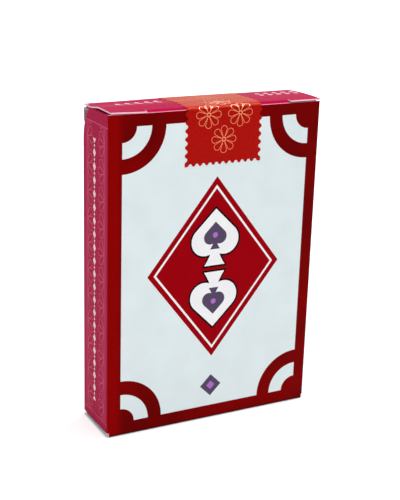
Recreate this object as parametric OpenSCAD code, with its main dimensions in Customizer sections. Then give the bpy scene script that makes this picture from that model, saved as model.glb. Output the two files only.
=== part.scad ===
// Playing cards in a tuck carton: a folded blank of paperboard, a scalloped paper seal and the cards.
// The carton stands on its bottom end with its front towards -Y. Z is up, and the origin is under its centre.

/* [Cards] */
// Width of a card
card_w = 63.5; // [56:0.1:70]
// Height of a card
card_h = 88.9; // [80:0.1:120]
// Thickness of a card
card_t = 0.27; // [0.24:0.005:0.34]
// Radius of a card's corners
card_r = 3.2; // [2:0.1:6]
// Air between neighbouring cards
card_air = 0.005; // [0.002:0.001:0.02]
// Free room at each side of the cards
side_room = 0.35; // [0.2:0.05:1]
// Free room behind the cards
back_room = 0.25; // [0.15:0.05:1]
// Free room under the cards
foot_room = 0.05; // [0.02:0.01:0.3]
// Free room over the cards, up to the dust flaps
head_room = 2.05; // [1.85:0.05:4]

/* [Board] */
// Thickness of the carton board
board = 0.4; // [0.3:0.05:0.55]
// Outer radius of a folded edge
fold_r = 0.5; // [0.5:0.05:1.2]
// Set-back of a cut edge from the face or fold beside it
cut_setback = 0.15; // [0.1:0.05:0.4]
// Gap between a rounded crease and the flap that turns on it
crease_gap = 0.03; // [0.02:0.01:0.08]
// Width of the glue flap inside the left side
glue_w = 12; // [8:0.5:14]
// Taper of the glue flap at each end
glue_taper = 1.5; // [0.5:0.1:5]
// Width of the half-moon thumb notch in the front panel
notch_w = 18; // [12:0.5:22]
// Depth of the thumb notch
notch_d = 7; // [4:0.5:9]

/* [Lid and tuck flap] */
// Gap between the lid and the front panel's top edge
lid_gap = 0.3; // [0.05:0.05:0.5]
// Distance by which each end of the lid stops short of the side
lid_end_gap = 0.4; // [0.35:0.05:1]
// Sideways offset of the lid as it is folded
lid_shift = 0.3; // [-0.35:0.05:0.35]
// Length of the lock slit at each end of the tuck crease
slit_l = 10.3; // [6:0.1:15]
// Width of the nick at the inner end of a lock slit
slit_nick = 0.4; // [0.2:0.1:1]
// Length of the tuck flap from its crease
tuck_l = 12; // [9:0.5:14]
// Lean of the tuck flap towards the cards
tuck_lean = 4; // [3:0.25:6]
// Gap between the front panel and the tuck flap at its crease
tuck_gap = 0.2; // [0.1:0.05:0.6]
// Gap between the tip of the tuck flap and the cards
tuck_tip_gap = 0.26; // [0.2:0.02:1]
// Gap between each side edge of the tuck flap and the carton
tuck_side_gap = 0.5; // [0.45:0.05:2]
// Drop of the tuck flap's shoulders and of its mitred inner edge below its crease
shoulder_drop = 1; // [0.95:0.05:1.5]
// Radius of the tuck flap's lower corners
tuck_r = 6; // [3:0.5:8]
// Radius of the tuck flap's shoulders
shoulder_r = 1.5; // [0.5:0.25:3]

/* [Dust flaps and bottom] */
// Length of a dust flap under the lid
dust_l = 15; // [10:0.5:18]
// Drop of the dust flaps below the front panel's top edge
dust_drop = 0.4; // [0:0.05:1]
// Gap between the tuck flap and a dust flap at its crease
dust_front_gap = 1; // [0.8:0.05:2]
// Taper of a dust flap's front edge
dust_front_taper = 3; // [2.5:0.25:4]
// Taper of a dust flap's rear edge
dust_rear_taper = 1.7; // [1.5:0.1:3]
// Radius of a dust flap's tip corners
dust_r = 2; // [1:0.25:3]
// Width of the curved relief at the rear of a dust flap's crease
relief_w = 3.6; // [3:0.1:5]
// Height of the curved relief in the left side panel
relief_h = 8; // [5:0.25:12]
// Length of a dust flap inside the bottom
bottom_dust_l = 15; // [10:0.5:18]
// Taper of each long edge of a bottom dust flap
bottom_dust_taper = 2; // [1:0.25:3]
// Taper of each end of the outer and inner bottom flaps
bottom_taper = 1.2; // [0.5:0.1:3]

/* [Seal] */
// Width of the seal between its tooth tips
seal_w = 23.9; // [20:0.1:30]
// Length of the seal down the front and down the back
seal_drop = 16.55; // [12:0.05:25]
// Thickness of the seal's paper
seal_t = 0.08; // [0.06:0.01:0.15]
// Sideways offset of the seal
seal_shift = 2; // [-4:0.5:4]
// Teeth across the seal
teeth_wide = 11; // [8:1:15]
// Teeth along the seal
teeth_long = 20; // [14:1:28]
// Depth of the scallops
tooth_depth = 0.7; // [0.4:0.05:1]
// Width of the slit in the seal along the front edge of the lid
seal_slit = 0.05; // [0.03:0.01:0.2]
// Set-back of the seal from the lid's crease
seal_setback = 0.12; // [0.1:0.02:0.5]

/* [Hidden] */
arc_steps = 8;
tooth_steps = 8;
through = 1;

RANKS = ["aces", "twos", "threes", "fours", "fives", "sixes", "sevens",
         "eights", "nines", "tens", "jacks", "queens", "kings"];
COLOURS = ["black", "red"];
CARTON_NODES = ["front_panel", "back_panel", "left_side_panel", "right_side_panel", "glue_flap",
                "bottom_outer_flap", "bottom_inner_flap", "bottom_left_dust_flap", "bottom_right_dust_flap",
                "left_dust_flap", "right_dust_flap", "lid_panel", "tuck_flap",
                "seal_front", "seal_top", "seal_back"];
CARD_NODES = concat(["jokers"], [for (c = COLOURS) for (r = RANKS) str(c, "_", r)]);

// The pack of cards, counted from the front: two jokers, then four suits of thirteen
jokers_count = 2;
suit_size = len(RANKS);
card_count = jokers_count + 4 * suit_size;
card_pitch = card_t + card_air;
pack_d = card_count * card_pitch - card_air;

// Room in front of the cards for the leaning tuck flap
tuck_room = tuck_gap + board + tuck_l * sin(tuck_lean) + tuck_tip_gap;

// Carton sizes, worked out from the cards inside it
carton_w = card_w + 2 * side_room + 3 * board;
carton_d = pack_d + back_room + tuck_room + 2 * board;
carton_h = 3 * board + foot_room + card_h + head_room + board + dust_drop + lid_gap + board;
half_w = carton_w / 2;
half_d = carton_d / 2;
fold_x = half_w - fold_r;
fold_y = half_d - fold_r;

// Levels of the closure, from the lid down
hinge_z = carton_h - board / 2;
lid_z = carton_h - board;
rim_z = lid_z - lid_gap;
dust_z = rim_z - dust_drop - board;
dust_crease_z = dust_z + board / 2;

// Feet of the walls above the three layers of the bottom
front_foot = fold_r;
back_foot = board + fold_r;
side_foot = 2 * board + fold_r;

// Cards
pack_x = board / 2;
pack_y = half_d - board - back_room - pack_d;
pack_z = 3 * board + foot_room;

// Lid and tuck flap
hinge_y = half_d - board / 2;
seam_x = -fold_x + board;
lid_left = -half_w + lid_end_gap + lid_shift;
lid_right = half_w - lid_end_gap + lid_shift;
lid_back = half_d - board - crease_gap;
lid_front = -half_d + cut_setback;
crease_left = lid_left + slit_l + slit_nick;
crease_right = lid_right - slit_l - slit_nick;
tuck_y = -half_d + board + tuck_gap + board / 2;
tuck_half = half_w - board - tuck_side_gap;

// Dust flaps
dust_front = tuck_y + board / 2 + dust_front_gap;
dust_back = half_d - cut_setback - relief_w;
relief_r = (relief_w ^ 2 + relief_h ^ 2) / (2 * relief_w);
relief_turn = asin(relief_h / relief_r);

// Thumb notch
notch_r = (notch_w ^ 2 / 4 + notch_d ^ 2) / (2 * notch_d);

// Seal
seal_left = seal_shift - seal_w / 2;
seal_foot = carton_h - seal_drop;
pitch_wide = seal_w / teeth_wide;
pitch_long = (carton_d + 2 * seal_drop) / teeth_long;

FRONT_RED = "#8c1014";
SIDE_PINK = "#a8244a";
LID_PINK = "#c23a5c";
SEAL_RED = "#b8281c";
BARE_BOARD = "#e6e2dc";
CARD_WHITE = "#f4f2ec";

// Outline helpers

function unit(v) = v / norm(v);

function rect(x0, y0, x1, y1) = [[x0, y0], [x1, y0], [x1, y1], [x0, y1]];

function arc(centre, r, from, to) =
    [for (i = [0:arc_steps]) let (a = from + (to - from) * i / arc_steps) centre + r * [cos(a), sin(a)]];

// One corner of an outline, rounded to radius r between its neighbours
function corner(before, at, after, r) =
    let (u = unit(before - at),
         v = unit(after - at),
         half = acos(u * v) / 2,
         centre = at + unit(u + v) * r / sin(half),
         first = at + u * r / tan(half) - centre,
         last = at + v * r / tan(half) - centre,
         sweep = 180 - 2 * half)
    [for (i = [0:arc_steps])
        let (turn = sweep * i / arc_steps)
        centre + (first * sin(sweep - turn) + last * sin(turn)) / sin(sweep)];

function rounded(points, radii) =
    let (n = len(points))
    [for (i = [0:n - 1])
        each radii[i] > 0
            ? corner(points[(i + n - 1) % n], points[i], points[(i + 1) % n], radii[i])
            : [points[i]]];

// Depth of a scalloped edge at a distance along it, from a tooth's tip
function scallop(along, pitch) = tooth_depth * (1 - cos(360 * along / pitch)) / 2;

// A stretch of the seal, flat: X across, Y along from its scalloped end
function seal_outline(from, to) =
    let (n = ceil((to - from) / pitch_long * tooth_steps),
         along = [for (i = [0:n]) from + (to - from) * i / n],
         across = from > 0 ? [] : [for (i = [teeth_wide * tooth_steps - 1:-1:1]) pitch_wide * i / tooth_steps])
    concat([for (s = along) [seal_left + scallop(s, pitch_long), s]],
           [for (i = [n:-1:0]) [seal_left + seal_w - scallop(along[i], pitch_long), along[i]]],
           [for (x = across) [seal_left + x, scallop(x, pitch_wide)]]);

// Sheets of board, from an outline in X and Z, in Y and Z, or in X and Y

module front_sheet(points, y, depth)
    translate([0, y + depth, 0]) rotate([90, 0, 0]) linear_extrude(depth) polygon(points);

module side_sheet(points, x, depth)
    translate([x, 0, 0]) rotate([90, 0, 90]) linear_extrude(depth) polygon(points);

module flat_sheet(points, z, depth)
    translate([0, 0, z]) linear_extrude(depth) polygon(points);

// A section drawn out from one level to another along Z, or about the middle along X or along Y

module drawn_up(from, to)
    translate([0, 0, from]) linear_extrude(to - from) children();

module drawn_along_x(length)
    translate([-length / 2, 0, 0]) rotate([90, 0, 90]) linear_extrude(length) children();

module drawn_along_y(length)
    translate([0, length / 2, 0]) rotate([90, 0, 0]) linear_extrude(length) children();

// The section of a fold: a quarter turn of board, from +X to +Y
module fold()
    intersection() {
        difference() {
            circle(fold_r, $fn = 64);
            circle(fold_r - board, $fn = 64);
        }
        square(fold_r);
    }

// The round edge of a crease along Z, on its +Y side
module bead(length)
    rotate_extrude(angle = 180, $fn = 64) square([board / 2, length]);

module bead_along_x(length)
    rotate([90, 0, 90]) bead(length);

module bead_along_y(length)
    rotate([90, 0, 0]) bead(length);

// Walls of the carton

module front_panel() {
    sheet = rect(-fold_x, -half_d, fold_x, -half_d + board);
    color(FRONT_RED)
    difference() {
        union() {
            drawn_up(front_foot, side_foot) polygon(sheet);
            drawn_up(side_foot, rim_z) {
                polygon(sheet);
                translate([-fold_x, -fold_y]) rotate(180) fold();
                translate([fold_x, -fold_y]) rotate(270) fold();
            }
        }
        translate([0, -half_d + board + through, rim_z - notch_d + notch_r])
            rotate([90, 0, 0]) cylinder(r = notch_r, h = board + 2 * through, $fn = 96);
    }
}

module back_panel() {
    sheet = rect(seam_x, half_d - board, fold_x, half_d);
    glue_top = dust_z - 2 * cut_setback;
    color(FRONT_RED) {
        drawn_up(back_foot, side_foot) polygon(sheet);
        drawn_up(side_foot, glue_top) {
            polygon(sheet);
            translate([fold_x, fold_y]) fold();
            translate([seam_x, fold_y]) rotate(90) fold();
        }
        drawn_up(glue_top, dust_crease_z) {
            polygon(sheet);
            translate([fold_x, fold_y]) fold();
        }
        drawn_up(dust_crease_z, hinge_z) polygon(sheet);
        translate([seam_x, hinge_y, hinge_z]) bead_along_x(fold_x - seam_x);
    }
}

module left_side_panel() {
    back = half_d - cut_setback;
    outline = concat([[-fold_y, dust_crease_z], [-fold_y, side_foot], [back, side_foot]],
                     arc([back - relief_r, dust_crease_z - relief_h], relief_r, 0, relief_turn));
    color(SIDE_PINK) {
        side_sheet(outline, -half_w, board);
        translate([-half_w + board / 2, dust_back, dust_crease_z]) bead_along_y(dust_back - dust_front);
    }
}

module right_side_panel()
    color(SIDE_PINK) {
        side_sheet(rect(-fold_y, side_foot, fold_y, dust_crease_z), half_w - board, board);
        translate([half_w - board / 2, dust_back, dust_crease_z]) bead_along_y(dust_back - dust_front);
    }

module glue_flap() {
    top = dust_z - 2 * cut_setback;
    tip = fold_y - glue_w;
    outline = [[fold_y, side_foot], [fold_y, top], [tip, top - glue_taper], [tip, side_foot + glue_taper]];
    color(BARE_BOARD) side_sheet(outline, -half_w + board, board);
}

// Three layers of the bottom, glued on each other

// Outline of a bottom flap, with straight ends at its fold, then narrower towards its free edge
function tapered(outer, crease, free) =
    [[-fold_x, outer], [fold_x, outer], [fold_x, crease],
     [fold_x - bottom_taper, free], [-fold_x + bottom_taper, free], [-fold_x, crease]];

// A folded strip of the bottom, trimmed to its outline
module trimmed(outline)
    intersection() {
        flat_sheet(outline, -through, carton_h);
        children();
    }

module bottom_outer_flap()
    color(FRONT_RED)
        trimmed(tapered(-carton_d, -fold_y, half_d - cut_setback))
        drawn_along_x(carton_w) {
            polygon(rect(-fold_y, 0, half_d, board));
            translate([-fold_y, front_foot]) rotate(180) fold();
        }

module bottom_inner_flap()
    color(BARE_BOARD)
        trimmed(tapered(carton_d, fold_y, -fold_y + cut_setback))
        drawn_along_x(carton_w) {
            polygon(rect(-half_d, board, fold_y, 2 * board));
            translate([fold_y, back_foot]) rotate(270) fold();
        }

module bottom_left_dust_flap() {
    edge = fold_y - cut_setback;
    tip = edge - bottom_dust_taper;
    end = -fold_x + bottom_dust_l;
    outline = [[-carton_w, -edge], [-fold_x, -edge], [end, -tip], [end, tip], [-fold_x, edge], [-carton_w, edge]];
    color(BARE_BOARD)
        trimmed(rounded(outline, [0, 0, dust_r, dust_r, 0, 0]))
        drawn_along_y(carton_d) {
            polygon(rect(-fold_x, 2 * board, half_w, 3 * board));
            translate([-fold_x, side_foot]) rotate(180) fold();
        }
}

module bottom_right_dust_flap()
    color(BARE_BOARD) mirror([1, 0, 0]) bottom_left_dust_flap();

// Closure: dust flaps, lid and tuck flap, each turning on a crease

module left_dust_flap() {
    root = -half_w + board + crease_gap;
    tip = root + dust_l;
    outline = [[root, dust_front], [tip, dust_front + dust_front_taper], [tip, dust_back - dust_rear_taper], [root, dust_back]];
    color(SIDE_PINK) flat_sheet(rounded(outline, [0, dust_r, dust_r, 0]), dust_z, board);
}

module right_dust_flap()
    color(SIDE_PINK) mirror([1, 0, 0]) left_dust_flap();

module lid_panel() {
    outline = [[lid_left, lid_back], [lid_left, lid_front],
               [lid_left + slit_l, lid_front], [lid_left + slit_l, tuck_y],
               [lid_right - slit_l, tuck_y], [lid_right - slit_l, lid_front],
               [lid_right, lid_front], [lid_right, lid_back]];
    color(LID_PINK) {
        flat_sheet(outline, lid_z, board);
        translate([crease_left, tuck_y, hinge_z])
            rotate([90, 0, 0]) bead_along_x(crease_right - crease_left);
    }
}

module tuck_flap() {
    top = -board / 2 - crease_gap;
    outline = [[crease_left, top], [crease_left, -shoulder_drop],
               [-tuck_half, -shoulder_drop], [-tuck_half, -tuck_l],
               [tuck_half, -tuck_l], [tuck_half, -shoulder_drop],
               [crease_right, -shoulder_drop], [crease_right, top]];
    mitre = [[-board / 2, top], [board / 2, -shoulder_drop], [board, -shoulder_drop], [board, 0], [-board / 2, 0]];
    color(LID_PINK)
        translate([0, tuck_y, hinge_z]) rotate([tuck_lean, 0, 0])
        difference() {
            front_sheet(rounded(outline, [0, 0, shoulder_r, tuck_r, tuck_r, shoulder_r, 0, 0]), -board / 2, board);
            side_sheet(mitre, crease_left - through, crease_right - crease_left + 2 * through);
        }
}

// Seal, slit along the front edge of the lid

module seal_front()
    color(SEAL_RED) translate([0, 0, seal_foot])
        front_sheet(seal_outline(0, seal_drop - seal_slit), -half_d - seal_t, seal_t);

module seal_top()
    color(SEAL_RED) translate([0, -half_d - seal_drop, 0])
        flat_sheet(seal_outline(seal_drop - seal_t, seal_drop + half_d + lid_back - seal_setback), carton_h, seal_t);

module seal_back()
    color(SEAL_RED) translate([0, 0, seal_foot])
        front_sheet(seal_outline(0, seal_drop - board / 2), half_d, seal_t);

// Cards, each at its place in the pack

module card(place) {
    outline = rect(-card_w / 2, 0, card_w / 2, card_h);
    translate([pack_x, 0, pack_z])
        front_sheet(rounded(outline, [card_r, card_r, card_r, card_r]), pack_y + place * card_pitch, card_t);
}

module jokers()
    color(CARD_WHITE) for (place = [0:jokers_count - 1]) card(place);

// The two cards of one rank and colour: the first two suits run up from the ace, the last two run down to it
module rank_pair(colour, rank) {
    first_suit = jokers_count + colour * suit_size;
    last_suit = first_suit + 2 * suit_size;
    color(CARD_WHITE) {
        card(first_suit + rank);
        card(last_suit + suit_size - 1 - rank);
    }
}

front_panel();
back_panel();
left_side_panel();
right_side_panel();
glue_flap();
bottom_outer_flap();
bottom_inner_flap();
bottom_left_dust_flap();
bottom_right_dust_flap();
left_dust_flap();
right_dust_flap();
lid_panel();
tuck_flap();
seal_front();
seal_top();
seal_back();
jokers();
for (colour = [0, 1], rank = [0:suit_size - 1])
    rank_pair(colour, rank);
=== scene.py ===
"""Playing cards in a closed tuck carton.

The carton is printed and varnished board with a scalloped paper seal over its lid, and the cards are inside.
It stands on its bottom end with its front towards -Y. Lengths are in metres, and in millimetres where a
print is drawn.
"""

from math import cos, hypot, pi, radians, sqrt

import bmesh
import bpy
from mathutils import Euler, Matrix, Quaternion, Vector


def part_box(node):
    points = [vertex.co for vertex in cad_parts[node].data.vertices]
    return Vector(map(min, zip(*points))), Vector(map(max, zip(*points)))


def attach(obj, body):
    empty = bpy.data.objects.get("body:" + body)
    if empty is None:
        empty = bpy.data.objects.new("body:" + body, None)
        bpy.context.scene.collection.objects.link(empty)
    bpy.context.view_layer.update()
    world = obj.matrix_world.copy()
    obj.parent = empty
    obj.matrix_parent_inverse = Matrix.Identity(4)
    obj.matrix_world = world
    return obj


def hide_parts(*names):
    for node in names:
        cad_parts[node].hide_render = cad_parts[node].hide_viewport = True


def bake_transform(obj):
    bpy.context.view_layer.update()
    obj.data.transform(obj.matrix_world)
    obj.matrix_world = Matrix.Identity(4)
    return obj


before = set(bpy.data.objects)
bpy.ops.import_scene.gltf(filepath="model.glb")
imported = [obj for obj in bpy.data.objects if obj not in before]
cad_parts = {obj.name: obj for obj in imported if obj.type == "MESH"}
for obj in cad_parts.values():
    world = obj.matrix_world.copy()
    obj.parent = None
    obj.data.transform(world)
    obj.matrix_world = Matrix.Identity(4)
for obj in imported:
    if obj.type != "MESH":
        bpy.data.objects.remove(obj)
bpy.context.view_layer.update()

# Front panel: the picture side of the carton, one leaf of a die-cut blank of white paperboard.
# It is printed offset and varnished, folded back round both side creases, and its top edge is cut raw,
# with a half-moon notch where the thumb lifts the lid.
MM = 0.001
NEAR = 0.01 * MM
MERGE = NEAR / 10
QUARTER_TURN = radians(90)
ROUND_EDGE = radians(35)
FACING_FRONT = (QUARTER_TURN, 0, 0)
front_low, front_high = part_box("front_panel")
right_low, right_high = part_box("right_side_panel")
board_t = right_high.x - right_low.x
fold_r = front_high.y - front_low.y
fold_x = front_high.x - fold_r
fold_y = right_high.y
side_foot = right_low.z
rim_z = front_high.z
rim_cut = 0.15 * MM
front_rim = rim_z - rim_cut
fold_steps = 6
notch_w = 18 * MM
notch_d = 7 * MM
notch_r = (notch_w ** 2 / 4 + notch_d ** 2) / (2 * notch_d)
punch_sides, punch_l = 96, 8 * fold_r
carton_mid = Vector((0, 0, rim_z / 2))


def lay_sheet(name, low, high, turn, cells=(1, 1)):
    """Adds a flat sheet between two corners, turned to face outwards, with its place in its mesh."""
    low, high = Vector(low), Vector(high)
    bpy.ops.object.select_all(action="DESELECT")
    bpy.ops.mesh.primitive_grid_add(
        x_subdivisions=cells[0], y_subdivisions=cells[1], size=1, location=(low + high) / 2, rotation=turn
    )
    sheet = bpy.context.object
    sheet.name = name
    across, up, _ = Euler(turn).to_matrix().col
    sheet.scale = (abs((high - low).dot(across)), abs((high - low).dot(up)), 1)
    bpy.ops.object.transform_apply(location=True, rotation=True, scale=True)
    return sheet


def take_up(piece):
    """Selects one piece alone and makes it the active one."""
    bpy.ops.object.select_all(action="DESELECT")
    bpy.context.view_layer.objects.active = piece
    piece.select_set(True)


def pick(kind, passes):
    """In edit mode, selects the vertices, edges or faces whose corners all pass a test of their place."""
    bpy.ops.mesh.select_mode(type=kind)
    bpy.ops.mesh.select_all(action="DESELECT")
    mesh = bmesh.from_edit_mesh(bpy.context.edit_object.data)
    parts = {"VERT": mesh.verts, "EDGE": mesh.edges, "FACE": mesh.faces}[kind]
    for part in parts:
        corners = [part] if kind == "VERT" else part.verts
        part.select_set(all(passes(corner.co) for corner in corners))
    mesh.select_flush_mode()
    bmesh.update_edit_mesh(bpy.context.edit_object.data)


def linear(code):
    """An sRGB hex colour as linear light."""
    parts = [int(code[i:i + 2], 16) / 255 for i in (1, 3, 5)]
    return tuple(c / 12.92 if c <= 0.04045 else ((c + 0.055) / 1.055) ** 2.4 for c in parts) + (1,)


def add(tree, kind, *feeds, into=None, **settings):
    """Adds a node with its settings, and feeds its inputs in order or by name with sockets or values."""
    node = tree.nodes.new("ShaderNode" + kind)
    for name, value in settings.items():
        setattr(node, name, value)
    pairs = list(zip(node.inputs, feeds))
    pairs += [(node.inputs[name], feed) for name, feed in (into or {}).items()]
    for socket, feed in pairs:
        if isinstance(feed, bpy.types.Node):
            feed = feed.outputs[0]
        if isinstance(feed, bpy.types.NodeSocket):
            tree.links.new(feed, socket)
        elif feed is not None:
            socket.default_value = feed
    return node


def start_material(name):
    """A new material and its empty tree."""
    material = bpy.data.materials.new(name)
    material.use_nodes = True
    material.node_tree.nodes.clear()
    return material, material.node_tree


def varnish(tree, ink, shine=0.02, rough=(0.38, 0.5), metal=0, sheen=0, sheen_tint="#FFFFFF"):
    """Ends a print: the ink lies a little unevenly, and the varnish follows the grain of the board."""
    cloud_size, cloud_shade = 9 * MM, (0.97, 1.03)
    grain_size, grain_h = 0.35 * MM, 0.006 * MM
    noise_span = (0.3, 0.7)
    place = add(tree, "TexCoord").outputs["Object"]
    cloud = add(tree, "TexNoise", place, into={"Scale": 1 / cloud_size, "Detail": 4})
    shade = add(tree, "MapRange", cloud, *noise_span, *cloud_shade)
    uneven = add(tree, "VectorMath", ink, into={"Scale": shade}, operation="SCALE")
    grain = add(tree, "TexNoise", place, into={"Scale": 1 / grain_size, "Detail": 2})
    relief = add(tree, "Bump", 0.5, grain_h, into={"Height": grain})
    gloss = add(tree, "MapRange", grain, *noise_span, *rough)
    shader = add(
        tree, "BsdfPrincipled", uneven,
        into={
            "Metallic": metal, "Roughness": gloss, "Normal": relief, "Specular IOR Level": shine,
            "Sheen Weight": sheen, "Sheen Roughness": 0.4, "Sheen Tint": linear(sheen_tint),
        },
    )
    add(tree, "OutputMaterial", shader)


# The inside of the carton is uncoated white board: matt, with a cool tint and short fibres in its surface.
# Its white is painted down to a lavender grey, partly as painted shade.
SHADED_GREY_FIBRE, SHADED_PALE_FIBRE = "#BEB7C6", "#DAD4DE"
fibre_l, fibre_w, fibre_h = 1.2 * MM, 0.15 * MM, 0.01 * MM
bare_board, tree = start_material("uncoated_board_painted_shade")
place = add(tree, "TexCoord").outputs["Object"]
along = add(tree, "Mapping", place, into={"Scale": (1 / fibre_w, 1 / fibre_w, 1 / fibre_l)})
fibres = add(tree, "TexNoise", along, into={"Scale": 1, "Detail": 3})
tint = add(tree, "MixRGB", fibres, linear(SHADED_GREY_FIBRE), linear(SHADED_PALE_FIBRE))
relief = add(tree, "Bump", 0.6, fibre_h, into={"Height": fibres})
finish = {"Roughness": 0.85, "Normal": relief, "Specular IOR Level": 0.2}
shader = add(tree, "BsdfPrincipled", tint, into=finish)
add(tree, "OutputMaterial", shader)

# A die cut shows the board's own white pulp, rough and a little torn, with the pink of ink in its fibres;
# its white and pink are painted brighter and pinker, as a painted highlight.
HIGHLIGHT_PINK_PULP, LIT_WHITE_PULP = "#F094B2", "#FFE4EE"
tear_size, tear_h = 0.2 * MM, 0.03 * MM
cut_edge, tree = start_material("cut_edge_painted_highlight")
place = add(tree, "TexCoord").outputs["Object"]
tears = add(tree, "TexNoise", place, into={"Scale": 1 / tear_size, "Detail": 3})
tint = add(tree, "MixRGB", tears, linear(HIGHLIGHT_PINK_PULP), linear(LIT_WHITE_PULP))
relief = add(tree, "Bump", 0.8, tear_h, into={"Height": tears})
finish = {"Roughness": 0.9, "Normal": relief, "Specular IOR Level": 0.1}
shader = add(tree, "BsdfPrincipled", tint, into=finish)
add(tree, "OutputMaterial", shader)

# The picture print: offset ink under a satin varnish, in flat colours with clean edges. A pale panel in a
# dark red frame has ringed fans in its corners, and a red lozenge in the middle with a pair of spades in it.
# Lengths without MM are millimetres on the print, and the design is folded into one quarter.
PALE, DARK_RED, DEEP_RED, BRIGHT_RED = "#E2EDEF", "#8C0001", "#640001", "#9A000C"
SLATE, VIOLET, BLACK, WHITE = "#574A63", "#B070C8", "#0B0809", "#F4F4F6"
panel_x, panel_z = 0.075, 46.75
panel_w, panel_h = 28.825, 42.75
fan_pitch, fan_band, fan_reach = 8.6, 4.2, 13
flood_size, flood_span, thin_span = 18 * MM, (0.35, 0.65), (0.1, 0.6)
lighter_from, lighter_to = -27.6, -30.2
lozenge_w, lozenge_h = 21, 27
key_inset, key_half = 1.8, 0.3
spade_z, spade_d = 11.5, 6.2
outline_w, small_spade_d, small_drop = 0.55, 3.0, 0.62
dot_r, dot_drop = 0.8, 1.55
jewel_z, jewel_d, jewel_core = 36.3, 3.4, 1.36

picture_print, tree = start_material("varnished_picture_print")
place = add(tree, "TexCoord").outputs["Object"]
centred = add(tree, "Mapping", place, (-panel_x, 0, -panel_z), None, (1 / MM, 0, 1 / MM))
folded = add(tree, "VectorMath", centred, operation="ABSOLUTE")
spot = add(tree, "SeparateXYZ", folded)
x, z = spot.outputs["X"], spot.outputs["Z"]

beside = add(tree, "Math", x, panel_w, operation="LESS_THAN")
above = add(tree, "Math", z, panel_h, operation="LESS_THAN")
panel = add(tree, "Math", beside, above, operation="MULTIPLY")
# The frame's red varies at random, and is lighter towards its left edge, at -X.
flood = add(tree, "TexNoise", place, into={"Scale": 1 / flood_size, "Detail": 1})
thick = add(tree, "MapRange", flood, *flood_span, *thin_span)
across = add(tree, "SeparateXYZ", centred)
lighter = add(tree, "MapRange", across.outputs["X"], lighter_from, lighter_to, 0, 1)
lighter = add(tree, "Math", lighter, thick, operation="MAXIMUM")
red = add(tree, "MixRGB", lighter, linear(DEEP_RED), linear(DARK_RED))
ink = add(tree, "MixRGB", panel, red, linear(PALE))

corner = add(tree, "VectorMath", folded, (panel_w, 0, panel_h), operation="DISTANCE").outputs["Value"]
ring = add(tree, "Math", corner, fan_pitch, operation="MODULO")
band = add(tree, "Math", ring, fan_band, operation="LESS_THAN")
reach = add(tree, "Math", corner, fan_reach, operation="LESS_THAN")
fan = add(tree, "Math", band, reach, operation="MULTIPLY")
ink = add(tree, "MixRGB", fan, ink, red)

side_l = sqrt(lozenge_w ** 2 + lozenge_h ** 2)
slope = (lozenge_h / side_l, 0, lozenge_w / side_l)
lozenge_r = lozenge_w * lozenge_h / side_l
across = add(tree, "VectorMath", folded, slope, operation="DOT_PRODUCT").outputs["Value"]
lozenge = add(tree, "Math", across, lozenge_r, operation="LESS_THAN")
ink = add(tree, "MixRGB", lozenge, ink, linear(BRIGHT_RED))
key = add(tree, "Math", across, lozenge_r - key_inset, key_half, operation="COMPARE")
ink = add(tree, "MixRGB", key, ink, linear(WHITE))


def spade(tree, place, middle, size):
    """Distance from a spade's outline: a square on its corner, a lobe on each lower side, a flared stem."""
    lobe_r = size * sqrt(0.5)
    stem_from, stem_to = -0.4 * size, -1.7 * size
    stem_flare, stem_half = 0.45 * size, 0.08 * size
    spot = add(tree, "SeparateXYZ", place)
    height = add(tree, "Math", spot.outputs["Z"], middle, operation="SUBTRACT")
    rise = add(tree, "Math", height, operation="ABSOLUTE")
    spread = add(tree, "Math", spot.outputs["X"], rise, operation="ADD")
    square = add(tree, "Math", spread, sqrt(0.5), -lobe_r, operation="MULTIPLY_ADD")
    lobe_at = (size / 2, 0, middle - size / 2)
    lobe_gap = add(tree, "VectorMath", place, lobe_at, operation="DISTANCE").outputs["Value"]
    lobe = add(tree, "Math", lobe_gap, lobe_r, operation="SUBTRACT")
    drop = add(tree, "MapRange", height, stem_from, stem_to, 0, 1)
    flare = add(tree, "Math", drop, 2, operation="POWER")
    stem_w = add(tree, "Math", flare, stem_flare, stem_half, operation="MULTIPLY_ADD")
    stem_side = add(tree, "Math", spot.outputs["X"], stem_w, operation="SUBTRACT")
    stem_foot = add(tree, "Math", stem_to, height, operation="SUBTRACT")
    stem_end = add(tree, "Math", stem_foot, height, operation="MAXIMUM")
    stem = add(tree, "Math", stem_side, stem_end, operation="MAXIMUM")
    leaf = add(tree, "Math", square, lobe, operation="MINIMUM")
    return add(tree, "Math", leaf, stem, operation="MINIMUM")


large = spade(tree, folded, spade_z, spade_d)
small = spade(tree, folded, spade_z - small_drop, small_spade_d)
dot_at = (0, 0, spade_z - dot_drop)
dot_gap = add(tree, "VectorMath", folded, dot_at, operation="DISTANCE").outputs["Value"]
for distance, limit, code in (
    (large, outline_w, BLACK),
    (large, 0, WHITE),
    (small, 0, SLATE),
    (dot_gap, dot_r, VIOLET),
):
    inside = add(tree, "Math", distance, limit, operation="LESS_THAN")
    ink = add(tree, "MixRGB", inside, ink, linear(code))

jewel_rise = add(tree, "Math", z, jewel_z, operation="SUBTRACT")
jewel_side = add(tree, "Math", jewel_rise, operation="ABSOLUTE")
jewel = add(tree, "Math", x, jewel_side, operation="ADD")
for limit, code in ((jewel_d, SLATE), (jewel_core, VIOLET)):
    inside = add(tree, "Math", jewel, limit, operation="LESS_THAN")
    ink = add(tree, "MixRGB", inside, ink, linear(code))
varnish(tree, ink)


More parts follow.
